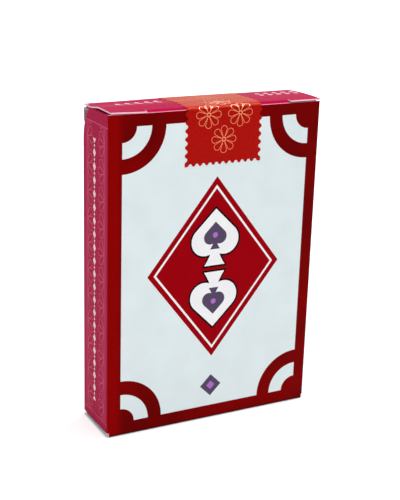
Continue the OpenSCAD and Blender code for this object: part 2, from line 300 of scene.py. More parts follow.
def make_board(sheet, printed, thickness=board_t, cuts=cut_edge, even=True):
    """Turns a folded sheet into board: print outside, bare board inside and raw pulp at the cuts."""
    bpy.ops.object.mode_set(mode="EDIT")
    bpy.ops.mesh.select_all(action="SELECT")
    bpy.ops.mesh.remove_doubles(threshold=MERGE)
    bpy.ops.mesh.normals_make_consistent(inside=False)
    bpy.ops.object.mode_set(mode="OBJECT")
    outwards = sum(face.normal.dot(face.center - carton_mid) * face.area for face in sheet.data.polygons)
    if outwards < 0:
        sheet.data.flip_normals()
    for material in (printed, bare_board, cuts):
        sheet.data.materials.append(material)
    wall = sheet.modifiers.new("wall", "SOLIDIFY")
    wall.thickness = thickness
    wall.offset = -1
    wall.use_even_offset = even
    wall.material_offset = 1
    wall.material_offset_rim = 2
    bpy.ops.object.modifier_apply(modifier=wall.name)
    bpy.ops.object.shade_smooth_by_angle(angle=ROUND_EDGE)


front = lay_sheet(
    "front_board", (-fold_x, front_low.y, side_foot), (fold_x, front_low.y, front_rim), FACING_FRONT
)
bpy.ops.object.mode_set(mode="EDIT")
for side in (-1, 1):
    pick("EDGE", lambda co: co.x * side > fold_x - NEAR)
    bpy.ops.mesh.spin(
        steps=fold_steps, angle=-side * QUARTER_TURN, center=(side * fold_x, -fold_y, 0), axis=(0, 0, 1)
    )
pick("EDGE", lambda co: co.z < side_foot + NEAR and abs(co.x) < fold_x + NEAR)
bpy.ops.mesh.extrude_region_move(TRANSFORM_OT_translate={"value": (0, 0, front_low.z - side_foot)})
bpy.ops.object.mode_set(mode="OBJECT")
make_board(front, picture_print)

bpy.ops.object.select_all(action="DESELECT")
bpy.ops.mesh.primitive_cylinder_add(
    vertices=punch_sides, radius=notch_r, depth=punch_l, rotation=FACING_FRONT,
    location=(0, -fold_y, front_rim - notch_d + notch_r),
)
punch = bpy.context.object
punch.data.materials.append(cut_edge)
take_up(front)
notch = front.modifiers.new("notch", "BOOLEAN")
notch.object = punch
notch.material_mode = "TRANSFER"
bpy.ops.object.modifier_apply(modifier=notch.name)
bpy.data.objects.remove(punch)
bpy.ops.object.shade_smooth_by_angle(angle=ROUND_EDGE)
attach(front, "carton")
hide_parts("front_panel")

# Back panel: the leaf on whose top crease the lid turns, of the same board and printed like the front.
# It folds forwards round both sides. At the left its fold runs on into the glue flap, and where the left
# panel is cut away the fold springs out a little.
FACING_BACK = (QUARTER_TURN, 0, pi)
SEAM_SHADE_DARK, SEAM_SHADE_PALE = "#7A5468", "#9A7086"
back_low, back_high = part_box("back_panel")
glue_low, glue_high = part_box("glue_flap")
left_low, left_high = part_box("left_side_panel")
seam_x = back_low.x + fold_r
crease_drop = 0.8 * MM
crease_foot = rim_z - crease_drop
seam_rows = 60
spring_out, spring_from, spring_to = 0.38 * MM, 0.1 * MM, 1.1 * MM
relief_h, relief_w = 9 * MM, 4.1 * MM
relief_r = (relief_h ** 2 + relief_w ** 2) / (2 * relief_w)
relief_y = left_high.y - relief_r
relief_z = left_high.z - board_t / 2 - relief_h


def smooth(low, high, value):
    """A smooth step from 0 at the low value to 1 at the high one."""
    t = min(max((value - low) / (high - low), 0), 1)
    return t * t * (3 - 2 * t)


def spring(co):
    """How far the board springs out beyond the curved cut of the left panel, where nothing holds it in."""
    past = hypot(co.y - relief_y, max(co.z - relief_z, 0)) - relief_r
    return spring_out * smooth(spring_from, spring_to, past)


# Round the glued seam the bare board is painted a dull dark mauve, as painted shade.
seam_shade_board, tree = start_material("board_with_painted_seam_shade")
place = add(tree, "TexCoord").outputs["Object"]
fibres = add(tree, "TexNoise", place, into={"Scale": 1 / fibre_l, "Detail": 3})
tint = add(tree, "MixRGB", fibres, linear(SEAM_SHADE_DARK), linear(SEAM_SHADE_PALE))
shader = add(tree, "BsdfPrincipled", tint, into={"Roughness": 0.85, "Specular IOR Level": 0.2})
add(tree, "OutputMaterial", shader)

back = lay_sheet(
    "back_board", (seam_x, back_high.y, side_foot), (fold_x, back_high.y, glue_high.z),
    FACING_BACK, (1, seam_rows),
)
bpy.ops.object.mode_set(mode="EDIT")
pick("EDGE", lambda co: co.x < seam_x + NEAR)
bpy.ops.mesh.spin(steps=fold_steps, angle=-QUARTER_TURN, center=(seam_x, fold_y, 0), axis=(0, 0, 1))
pick("EDGE", lambda co: co.z > glue_high.z - NEAR and co.x > seam_x - NEAR)
bpy.ops.mesh.extrude_region_move(TRANSFORM_OT_translate={"value": (0, 0, crease_foot - glue_high.z)})
pick("EDGE", lambda co: co.x > fold_x - NEAR)
bpy.ops.mesh.spin(steps=fold_steps, angle=QUARTER_TURN, center=(fold_x, fold_y, 0), axis=(0, 0, 1))
pick("EDGE", lambda co: co.z < side_foot + NEAR and seam_x - NEAR < co.x < fold_x + NEAR)
bpy.ops.mesh.extrude_region_move(TRANSFORM_OT_translate={"value": (0, 0, back_low.z - side_foot)})
bpy.ops.object.mode_set(mode="OBJECT")
for corner in back.data.vertices:
    corner.co.x -= spring(corner.co) * max((seam_x - corner.co.x) / fold_r, 0)
make_board(back, picture_print)
# The back's fold at the glued seam takes the mauve of painted shade.
back.data.materials.append(seam_shade_board)
bpy.ops.object.mode_set(mode="EDIT")
pick("FACE", lambda co: co.x < seam_x + NEAR)
back.active_material_index = len(back.data.materials) - 1
bpy.ops.object.material_slot_assign()
bpy.ops.object.mode_set(mode="OBJECT")
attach(back, "carton")
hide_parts("back_panel")

# Glue flap: the back panel's narrow end leaf, of bare board painted a dull dark mauve as shade, glued inside
# the left panel.
# Its ends taper, and it shows where the left panel is cut away, because nothing holds it in there.
FACING_LEFT = (QUARTER_TURN, 0, -QUARTER_TURN)
glue_taper, glue_columns = 1.5 * MM, 24
glue = lay_sheet(
    "glue_board", glue_low, (glue_low.x, glue_high.y, glue_high.z), FACING_LEFT, (glue_columns, seam_rows)
)
glue_mid = (glue_low.z + glue_high.z) / 2
for corner in glue.data.vertices:
    share = (glue_high.y - corner.co.y) / (glue_high.y - glue_low.y)
    corner.co.z += share * glue_taper * (glue_mid - corner.co.z) / (glue_high.z - glue_mid)
    corner.co.x -= spring(corner.co)
make_board(glue, seam_shade_board)
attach(glue, "carton")
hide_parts("glue_flap")

# Side panels: narrow leaves of the blank between front and back, printed magenta, with line flowers in two
# bands and a column of pips. The left one laps over the glue flap, and its top rear corner is cut away in a
# curve to let the lid turn.
FACING_RIGHT = (QUARTER_TURN, 0, QUARTER_TURN)
MAGENTA, PINK_STRIP, SALMON, SIDE_PIP = "#AA0440", "#B01C54", "#C25068", "#EFD6DF"
relief_steps = 12
crease_bevel, bevel_steps = 0.12 * MM, 4
band_y, band_z = -0.2, 46.4
strip_in, strip_out, frame_line = 6.0, 7.4, 42.9
petal_pitch, line_half = 7.6, 0.12
pip_y, pip_pitch, pip_end = 0.8, 3.85, 38.6
pip_w, pip_h, bead_r = 1.3, 1.0, 0.38


def flower(tree, place, size=1, half=line_half):
    """Lines of an eight-petalled flower about 9 mm across, round the origin of a place in millimetres."""
    petals, petal_in, petal_out = 8, 0.8 * size, 3.3 * size
    root_r, tip_r, eye_r = 0.33 * size, 1.06 * size, 0.68 * size
    far = add(tree, "VectorMath", place, operation="LENGTH").outputs["Value"]
    spot = add(tree, "SeparateXYZ", place)
    angle = add(tree, "Math", spot.outputs["Y"], spot.outputs["X"], operation="ARCTAN2")
    fold = add(tree, "Math", angle, pi / petals, operation="PINGPONG")
    cosine = add(tree, "Math", fold, operation="COSINE")
    sine = add(tree, "Math", fold, operation="SINE")
    out = add(tree, "Math", far, cosine, operation="MULTIPLY")
    aside = add(tree, "Math", far, sine, operation="MULTIPLY")
    axis_at = add(tree, "Math", out, petal_in, operation="MAXIMUM")
    axis_at = add(tree, "Math", axis_at, petal_out, operation="MINIMUM")
    past = add(tree, "Math", out, axis_at, operation="SUBTRACT")
    offset = add(tree, "CombineXYZ", past, aside)
    gap = add(tree, "VectorMath", offset, operation="LENGTH").outputs["Value"]
    width = add(tree, "MapRange", axis_at, petal_in, petal_out, root_r, tip_r)
    rim = add(tree, "Math", gap, width, half, operation="COMPARE")
    eye = add(tree, "Math", far, eye_r, half, operation="COMPARE")
    return add(tree, "Math", rim, eye, operation="MAXIMUM")


side_print, tree = start_material("varnished_side_print")
place = add(tree, "TexCoord").outputs["Object"]
centred = add(tree, "Mapping", place, (0, -band_y, -band_z), None, (0, 1 / MM, 1 / MM))
folded = add(tree, "VectorMath", centred, operation="ABSOLUTE")
spot = add(tree, "SeparateXYZ", folded)
v, z = spot.outputs["Y"], spot.outputs["Z"]

strip = add(tree, "Math", v, (strip_in + strip_out) / 2, (strip_out - strip_in) / 2, operation="COMPARE")
low = add(tree, "Math", z, frame_line, operation="LESS_THAN")
strip = add(tree, "Math", strip, low, operation="MULTIPLY")
ink = add(tree, "MixRGB", strip, linear(MAGENTA), linear(PINK_STRIP))

row = add(tree, "Math", z, petal_pitch / 2, -petal_pitch / 2, operation="WRAP")
half_out = add(tree, "Math", v, strip_in, operation="SUBTRACT")
flower_at = add(tree, "CombineXYZ", half_out, row)
petals = flower(tree, flower_at)
in_band = add(tree, "Math", v, strip_in, operation="LESS_THAN")
petals = add(tree, "Math", petals, in_band, operation="MULTIPLY")
band_line = add(tree, "Math", v, strip_in, line_half, operation="COMPARE")
lines = add(tree, "Math", petals, band_line, operation="MAXIMUM")
lines = add(tree, "Math", lines, low, operation="MULTIPLY")
end_line = add(tree, "Math", z, frame_line, line_half, operation="COMPARE")
lines = add(tree, "Math", lines, end_line, operation="MAXIMUM")
ink = add(tree, "MixRGB", lines, ink, linear(SALMON))

column = add(tree, "Mapping", place, (0, -pip_y, -band_z), None, (0, 1 / MM, 1 / MM))
spot = add(tree, "SeparateXYZ", column)
row = add(tree, "Math", spot.outputs["Z"], pip_pitch / 2, -pip_pitch / 2, operation="WRAP")
local = add(tree, "CombineXYZ", spot.outputs["Y"], row)
local = add(tree, "VectorMath", local, operation="ABSOLUTE")
reach = add(tree, "VectorMath", local, (1 / pip_h, 1 / pip_w, 0), operation="DOT_PRODUCT").outputs["Value"]
pip = add(tree, "Math", reach, 1, operation="LESS_THAN")
bead_gap = add(tree, "VectorMath", local, (0, pip_pitch / 2, 0), operation="DISTANCE").outputs["Value"]
bead = add(tree, "Math", bead_gap, bead_r, operation="LESS_THAN")
pips = add(tree, "Math", pip, bead, operation="MAXIMUM")
within = add(tree, "Math", z, pip_end, operation="LESS_THAN")
pips = add(tree, "Math", pips, within, operation="MULTIPLY")
ink = add(tree, "MixRGB", pips, ink, linear(SIDE_PIP))
varnish(tree, ink)

left = lay_sheet(
    "left_side_board", (left_low.x, left_low.y, side_foot), (left_low.x, left_high.y, relief_z), FACING_LEFT
)
bpy.ops.object.mode_set(mode="EDIT")
row_z = relief_z
rear_y = left_high.y
for step in range(1, relief_steps + 1):
    up = relief_h * step / relief_steps
    next_y = relief_y + sqrt(relief_r ** 2 - up ** 2)
    pick("EDGE", lambda co: co.z > row_z - NEAR)
    bpy.ops.mesh.extrude_region_move(TRANSFORM_OT_translate={"value": (0, 0, relief_z + up - row_z)})
    row_z = relief_z + up
    pick("VERT", lambda co: co.z > row_z - NEAR and co.y > rear_y - NEAR)
    bpy.ops.transform.translate(value=(0, next_y - rear_y, 0))
    rear_y = next_y
pick("EDGE", lambda co: co.z > row_z - NEAR)
bpy.ops.mesh.extrude_region_move(TRANSFORM_OT_translate={"value": (0, 0, left_high.z - row_z)})
bpy.ops.object.mode_set(mode="OBJECT")
right = lay_sheet("right_side_board", (right_high.x, right_low.y, side_foot), right_high, FACING_RIGHT)
for panel, outer_x, node in (
    (left, left_low.x, "left_side_panel"),
    (right, right_high.x, "right_side_panel"),
):
    take_up(panel)
    make_board(panel, side_print)
    bpy.ops.object.mode_set(mode="EDIT")
    pick("FACE", lambda co: co.z > right_high.z - NEAR)
    panel.active_material_index = 0
    bpy.ops.object.material_slot_assign()
    pick("EDGE", lambda co: co.z > right_high.z - NEAR and abs(co.x - outer_x) < NEAR)
    bpy.ops.mesh.bevel(offset=crease_bevel, segments=bevel_steps, affect="EDGES")
    bpy.ops.object.mode_set(mode="OBJECT")
    bpy.ops.object.shade_smooth_by_angle(angle=ROUND_EDGE)
    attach(panel, "carton")
    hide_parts(node)

# Bottom and dust flaps: leaves of the same blank, folded in. The bottom is glued in three layers.
# The dust flaps lie loose under the lid. Print runs round each crease on the outside, and the cuts are raw.
# The bottom's print is painted darker, as painted shade where the carton meets the floor.
SHADED_BASE_RED, SHADED_BASE_MAGENTA = "#380002", "#3E041C"
FLAP_CUT, FLAP_INSIDE = "#F4EFF1", "#E8E5EA"
turn_limit = 0.3


def flap_board(name, code, outwards):
    """Board printed in one colour on the side that faces outwards, bare on the other and raw at its cuts.
    The bottom flaps' darker colour is painted shade.
    """
    material, tree = start_material(name)
    normal = add(tree, "TexCoord").outputs["Normal"]
    towards = Vector(outwards).normalized()
    facing = add(tree, "VectorMath", normal, towards, operation="DOT_PRODUCT").outputs["Value"]
    printed = add(tree, "Math", facing, turn_limit, operation="GREATER_THAN")
    inside = add(tree, "Math", facing, -turn_limit, operation="LESS_THAN")
    tint = add(tree, "MixRGB", inside, linear(FLAP_CUT), linear(FLAP_INSIDE))
    tint = add(tree, "MixRGB", printed, tint, linear(code))
    varnish(tree, tint)
    return material


for node, name, code, outwards in (
    ("bottom_outer_flap", "bottom_print_painted_shade", SHADED_BASE_RED, (0, -1, -1)),
    ("bottom_inner_flap", "inner_print_painted_shade", SHADED_BASE_RED, (0, 1, -1)),
    ("bottom_left_dust_flap", "lower_left_print_painted_shade", SHADED_BASE_MAGENTA, (-1, 0, -1)),
    ("bottom_right_dust_flap", "lower_right_print_painted_shade", SHADED_BASE_MAGENTA, (1, 0, -1)),
    ("left_dust_flap", "varnished_left_flap_print", MAGENTA, (-0.3, 0, 1)),
    ("right_dust_flap", "varnished_right_flap_print", MAGENTA, (0.3, 0, 1)),
):
    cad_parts[node].material_slots[0].material = flap_board(name, code, outwards)

# Cards: 54 leaves of pasted card stock, cut with round corners, plastic coated and stacked.
# They carry a red lattice inside a white border, and each cut edge shows a slightly different white.
CARD_RED, CARD_WHITE, EDGE_GREY, EDGE_WHITE = "#A3101F", "#F2EDEA", "#DAD6D0", "#F5F3EF"
deck_nodes = [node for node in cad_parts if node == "jokers" or node.startswith(("black_", "red_"))]
deck_low = Vector(min(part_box(node)[0][i] for node in deck_nodes) for i in range(3))
deck_high = Vector(max(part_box(node)[1][i] for node in deck_nodes) for i in range(3))
card_pitch = 0.275 * MM
lattice_pitch, lattice_half, lattice_turn, border = 3.0, 0.32, radians(45), 3.5
flat_from, card_shine = 0.9, 0.35

card_stock, tree = start_material("coated_card_stock")
deck_mid = (deck_low + deck_high) / (2 * MM)
half_w, _, half_h = (deck_high - deck_low) / (2 * MM)
place = add(tree, "TexCoord").outputs["Object"]
centred = add(tree, "Mapping", place, (-deck_mid.x, 0, -deck_mid.z), None, (1 / MM, 0, 1 / MM))
turned = add(tree, "Mapping", centred, into={"Rotation": (0, lattice_turn, 0)})
folded = add(tree, "VectorMath", turned, (lattice_pitch,) * 3, (0, 0, 0), operation="WRAP")
spot = add(tree, "SeparateXYZ", folded)
rise = add(tree, "Math", spot.outputs["X"], lattice_half, operation="LESS_THAN")
fall = add(tree, "Math", spot.outputs["Z"], lattice_half, operation="LESS_THAN")
lattice = add(tree, "Math", rise, fall, operation="MAXIMUM")
printed = add(tree, "MixRGB", lattice, linear(CARD_RED), linear(CARD_WHITE))
inset = add(tree, "VectorMath", centred, operation="ABSOLUTE")
spot = add(tree, "SeparateXYZ", inset)
beside = add(tree, "Math", spot.outputs["X"], half_w - border, operation="LESS_THAN")
above = add(tree, "Math", spot.outputs["Z"], half_h - border, operation="LESS_THAN")
field = add(tree, "Math", beside, above, operation="MULTIPLY")
spot = add(tree, "SeparateXYZ", add(tree, "TexCoord").outputs["Normal"])
facing = add(tree, "Math", spot.outputs["Y"], operation="ABSOLUTE")
flat = add(tree, "Math", facing, flat_from, operation="GREATER_THAN")
field = add(tree, "Math", field, flat, operation="MULTIPLY")
depth = add(tree, "SeparateXYZ", place)
count = add(tree, "Math", depth.outputs["Y"], card_pitch, operation="DIVIDE")
count = add(tree, "Math", count, operation="FLOOR")
chance = add(tree, "TexWhiteNoise", into={"W": count}, noise_dimensions="1D")
white = add(tree, "MixRGB", chance, linear(EDGE_GREY), linear(EDGE_WHITE))
ink = add(tree, "MixRGB", field, white, printed)
varnish(tree, ink, shine=card_shine)
for node in deck_nodes:
    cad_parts[node].material_slots[0].material = card_stock

# Lid: the magenta leaf of the blank over the top, hinged on the back panel's top crease.
# Its board is not quite flat: it dips behind the left dust flap and bows up in the middle. Its raw ends lie
# over the front panel's edge, and between them it is slit and creased for the tuck flap.
FACING_UP = (0, 0, 0)
lid_low, lid_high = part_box("lid_panel")
lid_gap = 0.03 * MM
crease_top = rim_z + lid_gap
rear_bend = 0.6 * MM
roll_y = back_high.y - rear_bend
roll_z = crease_top - rear_bend
roll_steps = 8
lid_rear = roll_y - rear_bend
lid_cells = (64, 24)
die_press, press_steps = 0.16 * MM, 3
lid_front = front_low.y
lid_taper = 0.6 * MM
left_slit, right_slit, slit_gap = 10.3 * MM, 9.7 * MM, 0.35 * MM
crease_set = 0.6 * MM
front_bend, crease_flat = 0.9 * MM, 0.3 * MM
bend_y = lid_front + crease_set + front_bend
cut_y = bend_y + crease_flat
slit_left = lid_low.x + left_slit
slit_right = lid_high.x - right_slit
step_rise, right_rise, right_bow, rear_bow = 0.67 * MM, 0.5 * MM, 0.31 * MM, 0.16 * MM
corner_drop, slit_drop, tab_drop = 0.17 * MM, 0.28 * MM, 0.15 * MM
step_from, step_to, right_from = 0.2, 0.55, 0.6
arch_from, arch_to = 0.8, 0.3


def lid_rise(x, y):
    """How far the lid's face lies above its rear crease."""
    t = min(max((lid_rear - y) / (lid_rear - lid_front), 0), 1)
    along_left = smooth(lid_low.x, slit_left, x)
    at_left = step_rise * smooth(step_from, step_to, t)
    at_left -= (corner_drop + (slit_drop - corner_drop) * along_left) * smooth(step_to, 1, t)
    at_right = right_rise * t + right_bow * 4 * t * (1 - t)
    share = smooth(lid_low.x, right_from * lid_high.x, x)
    arch = rear_bow * smooth(arch_from * lid_low.x, arch_to * lid_low.x, x) * (1 - t) ** 2
    tab = tab_drop * along_left * smooth(cut_y, lid_front, y) if x < slit_left + NEAR else 0
    return at_left + (at_right - at_left) * share + arch - tab


# The pink line along the front crease's foot is a painted highlight.
LID_PIP, CREASE_HIGHLIGHT_PINK, PALE_TIP_WHITE = "#EBC9D5", "#E8205C", "#C4B4B8"
lid_mid, group_at, group_half = 2.9, 21.9, 6.4
lid_pitch, lid_row_y, lid_rows, lid_pip = 2.9, 2.5, 2.6, 0.95
highlight_z, highlight_h, highlight_d = rim_z, 0.12 * MM, 0.5 * MM
pale_tip_r, pale_tip_core = 1.3 * MM, 0.78 * MM

lid_print, tree = start_material("varnished_lid_print")
place = add(tree, "TexCoord").outputs["Object"]
centred = add(tree, "Mapping", place, (-lid_mid, -lid_row_y, 0), None, (1 / MM, 1 / MM, 0))
spot = add(tree, "SeparateXYZ", centred)
aside = add(tree, "Math", spot.outputs["X"], operation="ABSOLUTE")
from_group = add(tree, "Math", aside, group_at, operation="SUBTRACT")
column = add(tree, "Math", from_group, lid_pitch / 2, -lid_pitch / 2, operation="WRAP")
row = add(tree, "Math", spot.outputs["Y"], lid_rows, 0, operation="WRAP")
row = add(tree, "Math", row, lid_rows / 2, operation="SUBTRACT")
local = add(tree, "CombineXYZ", column, row)
local = add(tree, "VectorMath", local, operation="ABSOLUTE")
reach = add(tree, "VectorMath", local, (1, 1, 0), operation="DOT_PRODUCT").outputs["Value"]
pip = add(tree, "Math", reach, lid_pip, operation="LESS_THAN")
in_group = add(tree, "Math", from_group, 0, group_half, operation="COMPARE")
in_rows = add(tree, "Math", spot.outputs["Y"], 0, lid_rows, operation="COMPARE")
pip = add(tree, "Math", pip, in_group, operation="MULTIPLY")
pip = add(tree, "Math", pip, in_rows, operation="MULTIPLY")
ink = add(tree, "MixRGB", pip, linear(MAGENTA), linear(LID_PIP))

# Along the foot of the front crease the ink is painted a bright pink as a painted highlight, and it is paler
# towards the rear left corner.
depth = add(tree, "SeparateXYZ", place)
at_front = add(tree, "Math", depth.outputs["Y"], cut_y, operation="LESS_THAN")
crease_highlight = add(tree, "MapRange", depth.outputs["Z"], highlight_z, highlight_z + highlight_h, 1, 0)
crease_highlight = add(tree, "Math", crease_highlight, at_front, operation="MULTIPLY")
at_crease = add(tree, "Math", depth.outputs["Z"], highlight_z - highlight_d, operation="GREATER_THAN")
crease_highlight = add(tree, "Math", crease_highlight, at_crease, operation="MULTIPLY")
ink = add(tree, "MixRGB", crease_highlight, ink, linear(CREASE_HIGHLIGHT_PINK))
tip = (lid_low.x - lid_taper, lid_rear, crease_top)
tip_gap = add(tree, "VectorMath", place, tip, operation="DISTANCE").outputs["Value"]
pale_tip = add(tree, "MapRange", tip_gap, pale_tip_core, pale_tip_r, 1, 0)
ink = add(tree, "MixRGB", pale_tip, ink, linear(PALE_TIP_WHITE))
varnish(tree, ink)

lid = lay_sheet(
    "lid_board", (lid_low.x, lid_front, crease_top), (lid_high.x, lid_rear, crease_top),
    FACING_UP, lid_cells,
)
bpy.ops.object.mode_set(mode="EDIT")
for plane_co, plane_no in (
    ((slit_left, 0, 0), (1, 0, 0)),
    ((slit_right, 0, 0), (1, 0, 0)),
    ((0, cut_y, 0), (0, 1, 0)),
):
    bpy.ops.mesh.select_all(action="SELECT")
    bpy.ops.mesh.bisect(plane_co=plane_co, plane_no=plane_no, threshold=MERGE)
pick("FACE", lambda co: slit_left - NEAR < co.x < slit_right + NEAR and co.y < cut_y + NEAR)
bpy.ops.mesh.delete(type="FACE")
bpy.ops.object.mode_set(mode="OBJECT")
for corner in lid.data.vertices:
    x, y, _ = corner.co
    corner.co.z += lid_rise(x, y)
    corner.co.x -= lid_taper * smooth(slit_left, lid_low.x, x) * smooth(lid_front, lid_rear, y)
make_board(lid, lid_print)
bpy.ops.object.mode_set(mode="EDIT")
pick("EDGE", lambda co: co.y < lid_front + NEAR and co.z > crease_top + lid_rise(co.x, co.y) - NEAR)
bpy.ops.mesh.bevel(offset=die_press, segments=press_steps, affect="EDGES")
bpy.ops.object.mode_set(mode="OBJECT")
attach(lid, "lid")
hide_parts("lid_panel")


def roll_down():
    """Rolls the active sheet's rear edge over the back's top, and draws it down to the back panel."""
    bpy.ops.object.mode_set(mode="EDIT")
    pick("EDGE", lambda co: co.y > roll_y - NEAR)
    bpy.ops.mesh.spin(steps=roll_steps, angle=QUARTER_TURN, center=(0, roll_y, roll_z), axis=(1, 0, 0))
    pick("EDGE", lambda co: co.z < roll_z + NEAR)
    bpy.ops.mesh.extrude_region_move(TRANSFORM_OT_translate={"value": (0, 0, crease_foot - roll_z)})
    bpy.ops.object.mode_set(mode="OBJECT")


rear = lay_sheet(
    "rear_crease", (lid_low.x - lid_taper, lid_rear, crease_top), (lid_high.x, roll_y, crease_top),
    FACING_UP, (lid_cells[0] // 2, 1),
)
roll_down()
for corner in rear.data.vertices:
    share = smooth(crease_top, crease_foot, corner.co.z)
    narrow = seam_x if corner.co.x < 0 else fold_x
    wide = lid_low.x - lid_taper if corner.co.x < 0 else lid_high.x
    corner.co.z += lid_rise(corner.co.x, lid_rear) * (1 - share)
    corner.co.x *= 1 + share * (narrow / wide - 1)
make_board(rear, lid_print)
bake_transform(rear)

# Tuck flap: the lid's front leaf, of the same printed board, creased down and slipped in behind the front.
# Its shoulders catch the lid's slit ends, its lower corners are round, and it leans back from the crease.
flap_low, flap_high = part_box("tuck_flap")
flap_top = 92.0 * MM
flap_lean = radians(4)
flap_corner, flap_shoulder, corner_steps = 6 * MM, 1.5 * MM, 8
crease_columns = 40
drawn_down, blend_low = 0.2 * MM, 0.05 * MM
crease_left = slit_left + slit_gap
crease_right = slit_right - slit_gap
crease_face = bend_y - front_bend

crease = lay_sheet(
    "front_crease", (crease_left, bend_y, crease_top), (crease_right, cut_y, crease_top),
    FACING_UP, (crease_columns, 1),
)
bpy.ops.object.mode_set(mode="EDIT")
pick("EDGE", lambda co: co.y < bend_y + NEAR)
bpy.ops.mesh.spin(
    steps=roll_steps, angle=-QUARTER_TURN, center=(0, bend_y, crease_top - front_bend), axis=(1, 0, 0)
)
bpy.ops.object.mode_set(mode="OBJECT")
for corner in crease.data.vertices:
    corner.co.z += lid_rise(corner.co.x, max(corner.co.y, bend_y))
bpy.ops.object.mode_set(mode="EDIT")
pick("EDGE", lambda co: co.y < crease_face + NEAR)
bpy.ops.mesh.extrude_region_move(TRANSFORM_OT_translate={"value": (0, 0, -drawn_down)})
bpy.ops.transform.resize(value=(1, 1, 0), center_override=(0, crease_face, flap_top))
bpy.ops.object.mode_set(mode="OBJECT")
make_board(crease, lid_print)
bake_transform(crease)

tuck = lay_sheet(
    "tuck_board", (flap_low.x, crease_face, flap_low.z), (flap_high.x, crease_face, flap_top), FACING_FRONT
)
bpy.ops.object.mode_set(mode="EDIT")
for at_top, corner_r in ((False, flap_corner), (True, flap_shoulder)):
    pick("VERT", lambda co: abs(co.x) > flap_high.x - NEAR and (co.z > flap_top - NEAR) == at_top)
    bpy.ops.mesh.bevel(offset=corner_r, segments=corner_steps, affect="VERTICES")
bpy.ops.mesh.select_all(action="SELECT")
bpy.ops.transform.rotate(value=-flap_lean, orient_axis="X", center_override=(0, crease_face, flap_top))
bpy.ops.object.mode_set(mode="OBJECT")
make_board(tuck, lid_print)
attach(tuck, "tuck_flap")
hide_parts("tuck_flap")

# Seal: a strip of red gummed paper with a scalloped edge, stuck over the closed lid from front to back.
# It is printed with line flowers in gold ink, and slit along the lid's front edge, where the carton opens.
SEAL_RED, SEAL_GOLD = "#AC0100", "#DA8560"
# The bend's brighter red and paler gold are a painted highlight.
LIT_BEND_RED, GLINT_BEND_GOLD = "#BA2000", "#FFE9B8"
seal_low, seal_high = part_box("seal_front")
seal_foot = seal_low.z
seal_t = front_low.y - seal_low.y
left_shift, right_shift = 0.3 * MM, 0.45 * MM
seal_left = seal_low.x - left_shift
seal_right = seal_high.x - right_shift
seal_mid = (seal_left + seal_right) / 2
seal_w = seal_right - seal_left
seal_face = seal_low.y
seal_top_z = crease_top + seal_t
teeth_wide, teeth_long, tooth_d = 11, 21, 0.75 * MM
corner_share = 0.35
seal_l = 2 * (seal_top_z - seal_foot) - 2 * seal_face
seal_bend, bend_steps, highlight_band_w = 2.5 * MM, 10, 5 * MM
bend_end = seal_face + seal_bend
slit_below = 0.2 * MM
slit_z = rim_z - slit_below
row_pitch, column_pitch, first_row, first_column = 7.1, 9.8, 84.1, 1.65
flower_scale, gold_half = 0.87, 0.07
gold_share, bent_share = 0.6, 0.2
seal_sheen, bent_sheen = 1, 0.3


def gummed_paper(name, red, gold, metal_share, sheen):
    """Red paper with flowers in gold ink, in rows of two and one between them."""
    material, tree = start_material(name)
    place = add(tree, "TexCoord").outputs["Object"]
    centred = add(tree, "Mapping", place, (-first_column, 0, -first_row), None, (1 / MM,) * 3)
    spot = add(tree, "SeparateXYZ", centred)
    inwards = add(tree, "Math", spot.outputs["Y"], operation="ABSOLUTE")
    back_off = add(tree, "Math", -seal_face / MM, inwards, operation="SUBTRACT")
    length = add(tree, "Math", spot.outputs["Z"], back_off, operation="ADD")
    aside = add(tree, "Math", spot.outputs["X"], operation="ABSOLUTE")
    lines = None
    for shift, reach in ((0, column_pitch / 2), (1, column_pitch)):
        start_x = add(tree, "Math", spot.outputs["X"], shift * column_pitch / 2, operation="SUBTRACT")
        start_l = add(tree, "Math", length, shift * row_pitch, operation="SUBTRACT")
        column = add(tree, "Math", start_x, column_pitch / 2, -column_pitch / 2, operation="WRAP")
        row = add(tree, "Math", start_l, row_pitch, -row_pitch, operation="WRAP")
        flower_at = add(tree, "CombineXYZ", column, row)
        drawn = flower(tree, flower_at, flower_scale, gold_half)
        whole = add(tree, "Math", aside, reach, operation="LESS_THAN")
        drawn = add(tree, "Math", drawn, whole, operation="MULTIPLY")
        in_rows = add(tree, "Math", length, row_pitch, (2 - shift) * row_pitch, operation="COMPARE")
        drawn = add(tree, "Math", drawn, in_rows, operation="MULTIPLY")
        lines = add(tree, "Math", drawn, lines or 0, operation="MAXIMUM")
    ink = add(tree, "MixRGB", lines, linear(red), linear(gold))
    leaf = add(tree, "Math", lines, metal_share, operation="MULTIPLY")
    varnish(tree, ink, shine=0.05, rough=(0.22, 0.32), metal=leaf, sheen=sheen, sheen_tint="#FF8250")
    return material


seal_paper = gummed_paper("printed_gummed_paper", SEAL_RED, SEAL_GOLD, gold_share, seal_sheen)
# Over the lid's front edge the paper's red is painted brighter and its gold paler, as a painted highlight on
# the bend.
lit_bend_paper = gummed_paper("gummed_paper_painted_highlight", LIT_BEND_RED, GLINT_BEND_GOLD, bent_share, bent_sheen)


def scallop(run, teeth, length):
    """How deep an edge is cut at a run from its corner: 0 at a tooth's tip and a corner, 1 between."""
    pitch = length / (teeth + 2 * corner_share)
    past = min(run, length - run) / pitch - corner_share
    return smooth(-1, 1, -cos(2 * pi * max(past, 0)))


def notch_edges(strip, along):
    """Scallops the strip's long edges, and its foot, by how far each point lies from the foot."""
    for corner in strip.data.vertices:
        from_foot = along(corner.co)
        across = corner.co.x - seal_left
        side = tooth_d * scallop(from_foot, teeth_long, seal_l)
        end = tooth_d * scallop(across, teeth_wide, seal_w)
        corner.co.x = seal_mid + (corner.co.x - seal_mid) * (1 - 2 * side / seal_w)
        corner.co.z += end * max(0, 1 - from_foot / (2 * tooth_d))


def from_front(co):
    """How far a point of the seal lies from its front foot."""
    return co.z - seal_foot + co.y - seal_face


